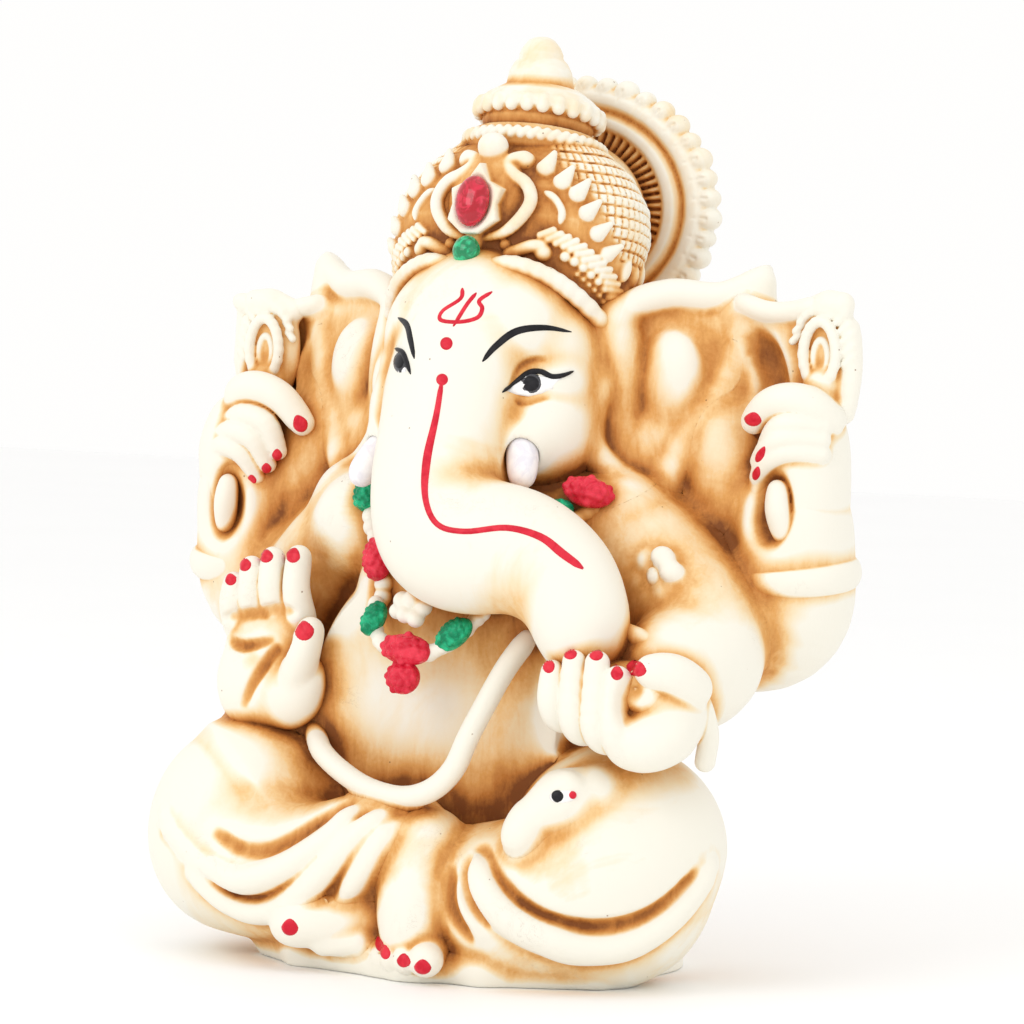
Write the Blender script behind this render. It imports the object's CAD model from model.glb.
"""The looks of the seated Ganesha idol: every casting is modelled again as relief in clay, and painted.

Sizes are millimetres in the figure's design frame, where it faces -Y, its left side is +X and the
knees lie near y = 0. ORIGIN, found from the CAD boxes, carries that frame to the row frame.
"""

import math

import bpy
import numpy as np
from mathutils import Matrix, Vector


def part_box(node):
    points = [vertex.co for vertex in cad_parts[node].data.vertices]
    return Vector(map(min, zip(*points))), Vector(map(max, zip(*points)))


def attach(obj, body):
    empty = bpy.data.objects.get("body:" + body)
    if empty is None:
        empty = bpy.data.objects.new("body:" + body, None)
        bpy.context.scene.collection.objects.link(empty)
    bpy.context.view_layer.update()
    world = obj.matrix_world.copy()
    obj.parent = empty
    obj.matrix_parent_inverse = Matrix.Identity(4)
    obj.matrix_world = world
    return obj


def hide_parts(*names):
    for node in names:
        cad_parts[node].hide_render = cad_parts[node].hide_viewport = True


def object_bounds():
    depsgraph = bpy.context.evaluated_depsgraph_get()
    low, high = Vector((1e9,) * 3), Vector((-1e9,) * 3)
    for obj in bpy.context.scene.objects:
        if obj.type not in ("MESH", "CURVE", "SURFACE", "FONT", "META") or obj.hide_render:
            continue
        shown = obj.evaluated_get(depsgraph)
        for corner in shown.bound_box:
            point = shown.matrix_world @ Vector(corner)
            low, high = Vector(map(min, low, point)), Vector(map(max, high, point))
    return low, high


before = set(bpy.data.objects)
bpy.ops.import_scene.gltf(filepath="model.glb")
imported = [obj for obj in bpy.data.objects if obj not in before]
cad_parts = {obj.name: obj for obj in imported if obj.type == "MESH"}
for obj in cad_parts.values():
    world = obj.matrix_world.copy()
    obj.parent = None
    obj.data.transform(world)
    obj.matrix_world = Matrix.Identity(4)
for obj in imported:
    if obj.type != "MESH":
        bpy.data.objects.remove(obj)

import openvdb
from mathutils import Euler, Matrix, Vector

START = [list(c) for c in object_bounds()]
MM = 0.001
BODY_STEP, FINE_STEP, CROWN_STEP, MAP_STEP = ((0.8, 0.6, 0.5, 1.0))
GARLAND_STEP, STONE_STEP = FINE_STEP * 0.8, 0.4
FAR = 40.0  # the distance noted where there is no clay
HALO_BACK, UNDERSIDE = 0.0885, 0.001  # y of the halo's back and z of the underside, in metres
SIDES = {"left": 1, "right": -1}
SHARP_ANGLE = math.radians(60)


def design_origin():
    """Where the design frame's origin lies in the row frame, in metres."""
    plinth_low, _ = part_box("plinth")
    wheel_low, wheel_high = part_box("halo_wheel")
    x = (wheel_low.x + wheel_high.x) / 2
    y = wheel_high.y - HALO_BACK
    return Vector((x, y, plinth_low.z - UNDERSIDE))


ORIGIN = design_origin()


# ---------------------------------------------------------------- shapes: (low, high, distance of x, y, z)


def turn_matrix(turn):
    """The rotation for turns in degrees about x, y and z."""
    return np.array(Euler([math.radians(a) for a in turn]).to_matrix(), np.float32)


def local(p, centre, turn):
    """Coordinates of p about centre, turned back by turn."""
    x, y, z = (p[k] - np.float32(centre[k]) for k in range(3))
    if not any(turn):
        return x, y, z
    m = turn_matrix(turn)
    return tuple(m[0, k] * x + m[1, k] * y + m[2, k] * z for k in range(3))


def about(centre, size, distance):
    """One shape, boxed by size mm either side of centre."""
    return [([c - s for c, s in zip(centre, size)], [c + s for c, s in zip(centre, size)], distance)]


def ball(centre, radii, turn=(0, 0, 0)):
    """An ellipsoid."""
    rx, ry, rz = (float(r) for r in (radii if hasattr(radii, "__len__") else (radii,) * 3))
    reach = max(rx, ry, rz) if any(turn) else None
    size = [reach or r for r in (rx, ry, rz)]

    def distance(p):
        x, y, z = local(p, centre, turn)
        near = np.sqrt((x / rx) ** 2 + (y / ry) ** 2 + (z / rz) ** 2)
        slope = np.sqrt((x / rx**2) ** 2 + (y / ry**2) ** 2 + (z / rz**2) ** 2)
        return near * (near - 1) / np.maximum(slope, 1e-4)

    return about(centre, size, distance)


def capsule(a, b):
    """A tapered rod between two points of (x, y, z, radius)."""
    start, run = np.array(a[:3], float), np.array(b[:3], float) - np.array(a[:3], float)
    length = max(float(run @ run), 1e-9)

    def distance(p):
        x, y, z = (p[k] - np.float32(start[k]) for k in range(3))
        t = np.clip((x * run[0] + y * run[1] + z * run[2]) / length, 0, 1).astype(np.float32)
        gap = np.sqrt((x - t * run[0]) ** 2 + (y - t * run[1]) ** 2 + (z - t * run[2]) ** 2)
        return gap - (a[3] + t * (b[3] - a[3]))

    low = [min(a[k] - a[3], b[k] - b[3]) for k in range(3)]
    return low, [max(a[k] + a[3], b[k] + b[3]) for k in range(3)], distance


def limb(*points):
    """A chain of tapered rods."""
    return [capsule(a, b) for a, b in zip(points, points[1:])]


def curve(points, per=4):
    """A smooth run through control points (Catmull-Rom), each a tuple of any length."""
    pts = [np.array(p, float) for p in points]
    pts = [2 * pts[0] - pts[1], *pts, 2 * pts[-1] - pts[-2]]
    run = []
    for k in range(1, len(pts) - 2):
        a, b, c, d = pts[k - 1 : k + 3]
        for s in np.arange(per) / per:
            bend = (2 * a - 5 * b + 4 * c - d) * s**2 + (3 * b - a - 3 * c + d) * s**3
            run.append(0.5 * (2 * b + (c - a) * s + bend))
    return [tuple(p) for p in run] + [tuple(pts[-2])]


def cord(*points, per=4):
    """A limb that bends smoothly."""
    return limb(*curve(points, per))


def ring(centre, radius, tube, turn=(0, 0, 0), stretch=(1, 1), squash=1.0):
    """A hoop round its own z axis. stretch scales it along x and y, squash thickens it along z."""
    reach = radius * max(stretch) + tube * max(1, squash)

    def distance(p):
        x, y, z = local(p, centre, turn)
        across = np.sqrt((x / stretch[0]) ** 2 + (y / stretch[1]) ** 2) - radius
        return np.sqrt(across**2 + (z / squash) ** 2) - tube

    return about(centre, (reach,) * 3, distance)


def outline_distance(points, u, v):
    """Signed distance to a closed outline in a plane."""
    best = np.full(np.broadcast(u, v).shape, 1e9, np.float32)
    inside = np.zeros(best.shape, bool)
    for (ax, az), (bx, bz) in zip(points, points[1:] + points[:1]):
        ex, ez = bx - ax, bz - az
        t = np.clip(((u - ax) * ex + (v - az) * ez) / (ex * ex + ez * ez + 1e-9), 0, 1)
        best = np.minimum(best, (u - ax - t * ex) ** 2 + (v - az - t * ez) ** 2)
        crosses = (az > v) != (bz > v)
        inside ^= crosses & (u < ex * (v - az) / (ez if ez else 1e-9) + ax)
    return np.where(inside, -np.sqrt(best), np.sqrt(best))


def eased(a, b, rounding):
    """Where two distances are both inside, with the corner between them rounded."""
    a, b = a + rounding, b + rounding
    outside = np.sqrt(np.maximum(a, 0) ** 2 + np.maximum(b, 0) ** 2)
    return outside + np.minimum(np.maximum(a, b), 0) - rounding


def slab(outline, y_of, thickness, rounding=2.0):
    """An outline in x and z, thickened about the surface y_of(x, z)."""
    xs, zs = [p[0] for p in outline], [p[1] for p in outline]
    ys = [y_of(x, z) for x, z in outline]

    def distance(p):
        x, y, z = p
        return eased(outline_distance(outline, x, z), np.abs(y - y_of(x, z)) - thickness / 2, rounding)

    low = (min(xs), min(ys) - thickness - 6, min(zs))
    return [(low, (max(xs), max(ys) + thickness + 6, max(zs)), distance)]


def turned(profile, centre, lean=0.0, squeeze=1.0, rounding=0.0):
    """A closed (radius, height) profile spun about an upright axis that leans back."""
    reach = max(r for r, _ in profile) + 1
    tall = max(abs(h) for _, h in profile) + 1 + reach * math.sin(math.radians(abs(lean)))

    def distance(p):
        x, y, z = local(p, centre, (-lean, 0, 0))
        rho = np.sqrt(x**2 + (y / squeeze) ** 2)
        return outline_distance(profile, rho, z + 0 * rho) - rounding

    return about(centre, (reach, reach, tall), distance)


def mirrored(side, points):
    """Points of (x, ...) for the left side (1) or the right side (-1)."""
    return [(side * x, *rest) for x, *rest in points]


def angles(first, sweep, count):
    """That many angles in radians, from first through sweep degrees."""
    return [math.radians(first + sweep * k / (count - 1)) for k in range(count)]


# ---------------------------------------------------------------- clay


def melt(a, b, blend):
    """The smaller of two distances, run together over blend."""
    if blend <= 0:
        return np.minimum(a, b)
    h = np.maximum(blend - np.abs(a - b), 0) / blend
    return np.minimum(a, b) - h * h * blend * 0.25


STRIDE = 1.5  # the longest step in mm that settle() takes


class Clay:
    """A signed distance on a lattice, negative inside."""

    def __init__(self, low, high, step):
        self.step = step
        self.first = np.floor(np.array(low) / step).astype(int)
        count = np.ceil(np.array(high) / step).astype(int) - self.first + 1
        self.d = np.full(tuple(count), FAR, np.float32)

    def window(self, low, high, pad=0.0):
        """The lattice slice that covers a box, and its x, y, z as open arrays."""
        shape = np.array(self.d.shape)
        a = np.floor((np.array(low, float) - pad) / self.step).astype(int) - self.first
        b = np.ceil((np.array(high, float) + pad) / self.step).astype(int) - self.first + 1
        a, b = np.clip(a, 0, shape), np.clip(b, 0, shape)
        axes = []
        for k in range(3):
            line = (self.first[k] + np.arange(a[k], b[k])) * self.step
            axes.append(line.astype(np.float32).reshape([-1 if j == k else 1 for j in range(3)]))
        return tuple(slice(i, j) for i, j in zip(a, b)), axes

    def add(self, shapes, blend=2.0):
        for low, high, distance in shapes:
            cut, p = self.window(low, high, blend + 3 * self.step)
            if self.d[cut].size:
                self.d[cut] = melt(self.d[cut], distance(p), blend)
        return self

    def cut(self, shapes, blend=1.0):
        for low, high, distance in shapes:
            cut, p = self.window(low, high, blend + 3 * self.step)
            if self.d[cut].size:
                self.d[cut] = -melt(-self.d[cut], distance(p), blend)
        return self

    def work(self, low, high, change):
        """Passes the clay in a box through change(d, x, y, z)."""
        cut, p = self.window(low, high)
        if self.d[cut].size:
            self.d[cut] = change(self.d[cut], *p)
        return self

    def at(self, points):
        """Distance at points, by trilinear interpolation."""
        return sampled(self.d, np.asarray(points, np.float32) / self.step - self.first)

    def slope(self, points):
        """Direction away from the clay at points."""
        points = np.asarray(points, np.float32)
        h = 0.6 * self.step
        found = np.empty(points.shape, np.float32)
        for k in range(3):
            off = np.zeros(3, np.float32)
            off[k] = h
            found[:, k] = self.at(points + off) - self.at(points - off)
        return found / np.maximum(np.linalg.norm(found, axis=1, keepdims=True), 1e-6)

    def settle(self, points, rounds=12):
        """The points moved to the nearest skin, and the skin's directions there."""
        points = np.array(points, np.float32)
        for _ in range(rounds):
            points = points - self.slope(points) * np.clip(self.at(points), -STRIDE, STRIDE)[:, None]
        return points, self.slope(points)

    def skin(self):
        """Points and quads of the whole skin."""
        return skinned(self.d, self.first, self.step)


def held(d, first, step):
    """A clay round distances that are already there."""
    made = Clay((0, 0, 0), (0, 0, 0), step)
    made.d, made.first = d, first
    return made


def sampled(field, q):
    """Trilinear samples of field at lattice coordinates q."""
    top = np.array(field.shape) - 1.001
    q = np.clip(q, 0, top)
    i = q.astype(np.int64)
    f = (q - i).astype(np.float32)
    _, ny, nz = field.shape
    flat, base = field.ravel(), (i[:, 0] * ny + i[:, 1]) * nz + i[:, 2]
    total = np.zeros(len(q), np.float32)
    for dx in (0, 1):
        wx = f[:, 0] if dx else 1 - f[:, 0]
        for dy in (0, 1):
            wy = wx * (f[:, 1] if dy else 1 - f[:, 1])
            for dz in (0, 1):
                wz = wy * (f[:, 2] if dz else 1 - f[:, 2])
                total += wz * flat[base + (dx * ny + dy) * nz + dz]
    return total


def blurred(field, reach):
    """Box mean over reach lattice steps each way."""
    for axis in range(3):
        a = np.moveaxis(field, axis, 0)
        padded = np.concatenate([np.repeat(a[:1], reach + 1, 0), a, np.repeat(a[-1:], reach, 0)])
        run = np.cumsum(padded, 0, dtype=np.float32)
        field = np.moveaxis((run[2 * reach + 1 :] - run[: -2 * reach - 1]) / (2 * reach + 1), 0, axis)
    return field


def span(shapes):
    """The box round a list of shapes."""
    low = np.min([s[0] for s in shapes], axis=0)
    return low, np.max([s[1] for s in shapes], axis=0)


# ---------------------------------------------------------------- meshes


def linked(name, verts, faces, material):
    """A mesh object in the row frame from design points in mm."""
    verts = np.asarray(verts, np.float64) * MM + np.array(ORIGIN)
    mesh = bpy.data.meshes.new(name)
    if isinstance(faces, list):
        mesh.from_pydata(verts.tolist(), [], faces)
    else:
        mesh.vertices.add(len(verts))
        mesh.vertices.foreach_set("co", verts.astype(np.float32).ravel())
        mesh.loops.add(faces.size)
        mesh.loops.foreach_set("vertex_index", faces.astype(np.int32).ravel())
        mesh.polygons.add(len(faces))
        starts = np.arange(0, faces.size, faces.shape[1], dtype=np.int32)
        mesh.polygons.foreach_set("loop_start", starts)
        mesh.update(calc_edges=True)
    mesh.validate()
    obj = bpy.data.objects.new(name, mesh)
    bpy.context.scene.collection.objects.link(obj)
    mesh.materials.append(material)
    mesh.shade_smooth()
    return obj


def skinned(field, first, step):
    """Quads on the zero level of field, largest body only, as (points in mm, faces)."""
    grid = openvdb.FloatGrid(3 * step)
    grid.copyFromArray(np.ascontiguousarray(np.clip(field, -3 * step, 3 * step)))
    points, quads = grid.convertToQuads(0.0)
    points = (points + first) * step
    quads = quads[:, ::-1]
    keep = largest_body(len(points), quads)
    renumber = np.cumsum(keep) - 1
    quads = renumber[quads[keep[quads[:, 0]]]]
    return points[keep], quads


def largest_body(count, quads):
    """Which points belong to the body with the most points."""
    label = np.arange(count)
    a = quads.ravel()
    b = np.roll(quads, -1, axis=1).ravel()
    while True:
        low = np.minimum(label[a], label[b])
        new = label.copy()
        np.minimum.at(new, a, low)
        np.minimum.at(new, b, low)
        new = new[new]
        if np.array_equal(new, label):
            break
        label = new
    names, sizes = np.unique(label, return_counts=True)
    return label == names[np.argmax(sizes)]


def declare(obj, nodes=()):
    """Rides the figure's one body, takes its finish from slot and stands for nodes."""
    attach(obj, "root")
    if nodes:
        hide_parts(*nodes)
    return obj


class Cast:
    """Several clays run together into one skin, then parted again into closed pieces."""

    def __init__(self, step):
        self.step = step
        self.clays = {}
        self.blends = {}

    def clay(self, name, shapes, blend=3.0, seam=4.0, margin=8.0, room=None):
        """A new clay with shapes in it. seam is how far it melts into its neighbours."""
        low, high = room or span(shapes)
        made = Clay(np.array(low) - margin, np.array(high) + margin, self.step)
        made.add(shapes, blend)
        self.clays[name] = made
        self.blends[name] = seam
        return made

    def join(self):
        """Runs every clay together, and notes which is nearest where."""
        clays = list(self.clays.values())
        low = np.min([c.first for c in clays], axis=0)
        high = np.max([c.first + c.d.shape for c in clays], axis=0)
        whole = Clay(low * self.step, (high - 1) * self.step, self.step)
        nearest = np.full(whole.d.shape, FAR, np.float32)
        second = np.full(whole.d.shape, FAR, np.float32)
        owner = np.full(whole.d.shape, -1, np.int8)
        for index, (name, clay) in enumerate(self.clays.items()):
            a = clay.first - whole.first
            cut = tuple(slice(i, i + n) for i, n in zip(a, clay.d.shape))
            whole.d[cut] = melt(whole.d[cut], clay.d, self.blends[name])
            closer = clay.d < nearest[cut]
            second[cut] = np.where(closer, nearest[cut], np.minimum(second[cut], clay.d))
            owner[cut] = np.where(closer, index, owner[cut])
            nearest[cut] = np.where(closer, clay.d, nearest[cut])
        self.whole, self.nearest, self.second, self.owner = whole, nearest, second, owner
        return whole

    def piece(self, name):
        """Points and faces of one clay's share of the skin."""
        clay, whole = self.clays[name], self.whole
        a = clay.first - whole.first
        cut = tuple(slice(i, i + n) for i, n in zip(a, clay.d.shape))
        mine = self.owner[cut] == list(self.clays).index(name)
        seam = 0.5 * (clay.d - np.where(mine, self.second[cut], self.nearest[cut]))
        seam = np.clip(seam, -FAR / 4, FAR / 4)
        points, quads = skinned(np.maximum(whole.d[cut], seam), clay.first, self.step)
        border = held(seam, clay.first, self.step)
        reach = 1.3 * self.step
        edge = (np.abs(border.at(points)) < reach) & (np.abs(whole.at(points)) < reach)
        start = points[edge]
        if len(start):
            moved = start
            for _ in range(3):
                moved = moved - whole.slope(moved) * whole.at(moved)[:, None]
                moved = moved - border.slope(moved) * border.at(moved)[:, None]
            far = np.linalg.norm(moved - start, axis=1) > 1.5 * self.step
            moved[far] = start[far]
            points[edge] = moved
        return points, quads


# ---------------------------------------------------------------- castings


def ear_surface(x, z):
    """y of an ear's middle, swept back and outward."""
    return 29 + 0.42 * (np.abs(x) - 38) + 0.2 * (z - 180)


def web_surface(x, z):
    """y of the middle of the relief between an ear and a rear arm."""
    return 54 - 0.0012 * (np.abs(x) - 40) ** 2


def superellipse(middle, half, power, count=60):
    """A closed outline between an oval and a rectangle."""
    found = []
    for k in range(count):
        c, s = math.cos(math.tau * k / count), math.sin(math.tau * k / count)
        x = half[0] * math.copysign(abs(c) ** (2 / power), c)
        found.append((middle[0] + x, middle[1] + half[1] * math.copysign(abs(s) ** (2 / power), s)))
    return found


PLINTH_HEIGHT, PLINTH_EASE = 14, 5


def plinth_shape():
    """The low cushion that the figure sits on, with an eased top edge."""
    rim = superellipse((-4, 28), (70, 48), 2.6)

    def distance(p):
        x, y, z = p
        return eased(outline_distance(rim, x, y), z - PLINTH_HEIGHT, PLINTH_EASE)

    return [((-78, -20, -6), (78, 76, PLINTH_HEIGHT), distance)]


def model_seat(cast):
    """The plinth, the folded legs in their dhoti, the feet and the mouse."""
    tongue = limb((6, -16, 7, 9), (9, -34, 4.5, 5.5), (14, -34, 4.5, 5.5))
    skirt = limb((-54, -10, 7, 8), (-34, -24, 6, 7), (0, -30, 6, 7), (34, -28, 6, 7), (62, -12, 7, 8))
    cast.clay("plinth", plinth_shape() + tongue + skirt, 5, seam=3.5)

    thigh = limb((-34, 38, 44, 35), (-69, 0, 43, 33), (-73, -4, 40, 28))
    shin = cord((-72, -10, 34, 24), (-36, -22, 30, 18), (-2, -20, 42, 17))
    right = cast.clay("right_leg", thigh + limb((-70, 0, 36, 27), (-56, 4, 24, 20)) + shin, 9, seam=3)
    folds = [
        [(-60, -38, 42), (-50, -40, 38.5), (-40, -41, 39), (-31, -38, 42.4), (-23, -35, 48), (-15, -32, 55)],
        [
            (-82, -30, 40), (-63, -41, 29), (-51, -40, 23), (-38, -41, 23), (-25, -43, 31), (-14, -40, 42),
            (-7, -35, 52),
        ],
        [(-22, -42, 17), (-16, -42, 25), (-8, -40, 36), (-2, -36, 46)],
    ]
    ridges = [
        [
            (-84, -30, 45), (-68, -36, 33), (-52, -43, 28.5), (-41, -41, 30), (-29, -41, 35.4),
            (-17, -40, 45), (-12, -35, 52),
        ],
        [
            (-70, -38, 28), (-56, -40, 19), (-42, -41, 17.5), (-29, -43, 24), (-18, -42, 35), (-8, -39, 46),
            (-1, -35, 52),
        ],
        [(-12, -41, 26), (-4, -40, 38), (4, -35, 49)],
    ]
    right.add(limb((-62, 6, 18, 15), (-30, -12, 13, 13)), 7)
    for path in folds:
        right.cut(on_skin(right, path, 1.5, -0.4), 3.5)
    for path in ridges:
        right.add(on_skin(right, path, 2.5, 0.2), 4)

    thigh = limb((34, 38, 44, 35), (66, 0, 44, 31), (64, 3, 29, 28))
    shin = cord((64, -6, 34, 27), (40, -16, 26, 21), (20, -12, 28, 18))
    left = cast.clay("left_leg", thigh + shin, 9, seam=3)
    sweep = [
        (34, -34, 45), (38, -36, 40), (47, -40, 33), (57, -39, 26), (68, -34, 22.5), (80, -28, 23),
        (90, -20, 28), (97, -10, 39),
    ]
    under = [
        (34, -34, 40), (39, -39, 33), (49, -40, 24), (61, -36, 18), (69, -30, 15.5), (81, -22, 17),
        (92, -12, 27), (99, -2, 41),
    ]
    left.add(limb((26, -16, 13, 13), (62, -6, 16, 16)), 7)
    left.cut(on_skin(left, sweep, 1.5, -0.3), 4)
    left.add(on_skin(left, under, 3.0, 0.2), 5)
    pleats = [(31, -36, 42), (34, -38, 31), (41, -41, 22)], [(26, -34, 36), (28, -36, 26), (34, -38, 17)]
    for path in pleats:
        left.cut(on_skin(left, path, 1.6, 0), 3)

    ankle = cord((10, -24, 42, 13), (11, -30, 26, 12), (11, -33, 15, 9.5))
    foot = cast.clay("right_foot", ankle, 4, seam=3)
    for x, y, z, r in ((20, -41, 9, 5.2), (13, -41.5, 8.6, 4.3), (6.8, -40, 8.4, 3.7), (1.6, -37, 8.2, 3.2)):
        foot.add(limb((x - 2, y + 9, 15, r * 0.9), (x, y, z, r)), 1.2)
    foot.add(ball((20.5, -42, 9), (5.4, 5, 5)), 1.5)
    big = cord((-2, -22, 20, 9.5), (-14, -31, 18.5, 8.0), (-25, -38, 17, 6.4), (-31, -40.5, 16, 5.4))
    other = cast.clay("left_foot", big, 4, seam=2.5)
    other.add(limb((-8, -34, 12, 5), (-20, -37, 10.5, 4.2)), 2)

    body = limb((68, -22, 64, 8), (60, -27, 61, 8.6), (52, -32, 55, 7)) + ball((49, -35, 49.5), (5.6, 6, 6.2))
    mouse = cast.clay("mouse", body, 5, seam=4)
    mouse.add(ball((63, -31, 66), (5, 3.5, 4.6)), 2)
    mouse.cut(cord((46, -41, 49.5, 0.7), (49, -42, 46.8, 0.8), (53, -40.5, 47.7, 0.5)), 0.8)
    mouse.cut(cord((47, -42, 53.5, 0.5), (51, -42, 52.9, 0.6), (55, -40, 54.5, 0.4)), 0.8)


def on_skin(clay, path, radius, depth, per=4):
    """A cord laid along the clay's skin, its middle depth mm inside, thinner at both ends."""
    line, out = clay.settle(curve([p[:3] for p in path], per))
    line = line - out * depth
    last = len(line) - 1
    radii = [radius * (0.45 + 0.55 * math.sin(math.pi * k / last)) for k in range(len(line))]
    return limb(*[(*map(float, p), r) for p, r in zip(line, radii)])


def model_trunk_of_body(cast):
    """Belly, chest, shoulders and hips, with the sash over them."""
    chest = ball((0, 34, 138), (42, 32, 30)) + limb((-44, 34, 140, 20), (44, 34, 140, 20))
    hips = ball((0, 42, 50), (60, 36, 38))
    torso = cast.clay("torso", chest + hips, 10, seam=4)
    torso.add(ball((4, 20, 95), (54, 43, 45)), 8)
    torso.add(ball((-7, 11, 91), (42, 37, 35)), 5)
    torso.add(ball((24, 7, 79), (23, 31, 32)), 3)
    torso.add(limb((-34, 6, 62, 16), (0, -6, 56, 17), (34, 4, 58, 17)), 7)
    torso.add(ball((-38, 22, 84), (20, 22, 24)), 8)
    for side in (-1, 1):
        torso.add(limb((side * 22, 12, 146, 12), (side * 50, 24, 148, 13)), 6)
    torso.add(ball((-20, 3, 124), (13, 10, 11)), 5)
    path = curve(
        [
            (-49, 0, 79), (-44, -7, 73.5), (-36, -16, 68.5), (-24, -23, 63.5), (-11, -28, 59.5),
            (3.6, -31, 58), (14, -31, 61), (21, -29.5, 68), (25, -28, 78), (29, -24, 89), (33, -19, 100),
            (37, -13, 109),
        ]
    )
    cast.clay("sash", limb(*[(x, y + 0.9, z, 3.0) for x, y, z in path]), 2, seam=2)
    torso.add(limb(*[(x, y + 7, z, 6) for x, y, z in path[:-6]]), 7)
    torso.cut(ball(tuple(map(float, torso.settle([(-0.5, -24, 76)])[0][0])), (1.8, 3, 2.8)), 2.5)


def model_arms(cast):
    """All four arms, the relief that joins them to the ears, and the flower armlet."""
    upper = cord((-48, 26, 136, 19), (-70, 24, 110, 17), (-75, 17, 88, 15), (-66, 1, 84, 12))
    arm = cast.clay("right_front_arm", upper, 6, seam=5)
    arm.add(ball((-40, 12, 140), (16, 14, 17)), 6)
    upper = cord((52, 28, 138, 20), (76, 22, 118, 19), (86, 10, 104, 18), (84, -6, 100, 16))
    arm = cast.clay("left_front_arm", upper, 6, seam=5)
    for k in range(6):
        a = math.tau * k / 6 + 0.3
        petal = (74 + 5.5 * math.cos(a), 5.2 - 1.8 * math.cos(a), 130 + 6.5 * math.sin(a))
        arm.add(ball(petal, (3.8, 2.2, 3.6), (-30, 0, 40)), 2.5)
    cast.clay("armlet", ball((74, 4.2, 130), (3.4, 2.4, 3.4), (-30, 0, 40)), 1, seam=1.5)
    for name, side in SIDES.items():
        points = [
            (52, 44, 138, 21), (72, 46, 122, 22), (88, 46, 117, 22), (98, 45, 122, 19), (101, 44, 138, 16.5),
            (102, 42, 152, 15),
        ]
        arm = cast.clay(name + "_rear_arm", cord(*mirrored(side, points)), 6, seam=6)
        arm.cut(ball((side * 102, 24, 152 if side > 0 else 144.5), (7.5, 7, 12)), 4)
        drop = 0 if side > 0 else 5
        outline = [
            (38, 108), (62, 100), (84, 104), (98, 130), (106, 160), (111, 196 - drop), (110, 217 - drop),
            (98, 216 - drop), (88, 215 - drop), (78, 218 - drop), (62, 210), (38, 200),
        ]
        web = cast.clay(name + "_web", slab(mirrored(side, outline), web_surface, 15, 4), 3, seam=6)
        web.add(ball((side * 79, 45, 156), (17, 14, 32), (0, side * -16, 0)), 9)
        web.cut(on_web(side, [(86, 204), (91, 196), (93, 186), (90, 176)], 2.0), 6)
        lip = [(80, 216 - drop), (90, 213.5 - drop), (100, 214 - drop), (108, 216 - drop)]
        web.add(on_web(side, lip, 2.0, -1), 3)


def on_web(side, path, radius, proud=0.0):
    """A cord along the front of the web."""
    points = [(side * x, float(web_surface(x, z)) - 7.5 - proud / 2, z, radius) for x, z in path]
    return cord(*points)


def model_ears(cast):
    """Fan ears: a dished blade with a rolled edge, an inner lobe and a pointed upper tip."""
    outline = [
        (34, 205), (44, 217), (56, 222), (70, 221), (83, 228), (84, 214), (80, 199),
        (76, 186), (69, 175), (62, 164), (58, 152), (48, 160), (39, 172), (34, 188),
    ]
    for name, side in SIDES.items():

        def edge(x, z, r, proud=0.0):
            return (side * x, float(ear_surface(x, z)) - proud, z, r)

        ear = cast.clay(name + "_ear", slab(mirrored(side, outline), ear_surface, 8, 3), 3, seam=3)
        ear.cut(ball((side * 61, ear_surface(61, 198) - 9, 199), (18, 8, 23), (0, side * 14, 0)), 6)
        ear.add(ball((side * 56.5, ear_surface(56, 188) + 0.8, 188), (12, 7, 18), (0, side * 10, 0)), 6)
        top = [
            edge(37, 203, 3.4, 2), edge(44, 213.5, 3.8, 2.5), edge(56, 218, 3.8, 2.5),
            edge(70, 217.5, 3.4, 2), edge(82, 224, 2.4, 2),
        ]
        ear.add(cord(*top), 3)
        root = [(38, 34, 208, 8), (40, 35, 190, 9), (40, 36, 172, 9), (50, 38, 160, 8)]
        ear.add(cord(*mirrored(side, root)), 4)
        inner = [
            edge(36.5, 198, 2.6, 5), edge(39.5, 188, 3.6, 6), edge(38, 178, 3.2, 6), edge(40, 168, 3.4, 6),
            edge(48, 159, 3.6, 5), edge(58, 153, 3.2, 3),
        ]
        ear.add(cord(*inner), 3)
        outer = [
            edge(82, 222, 2.4, 1), edge(80, 206, 2.8, 0.5), edge(75, 189, 2.8, 0), edge(68, 175, 3, 0),
            edge(60, 156, 3, 1),
        ]
        ear.add(cord(*outer), 6)


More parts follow.
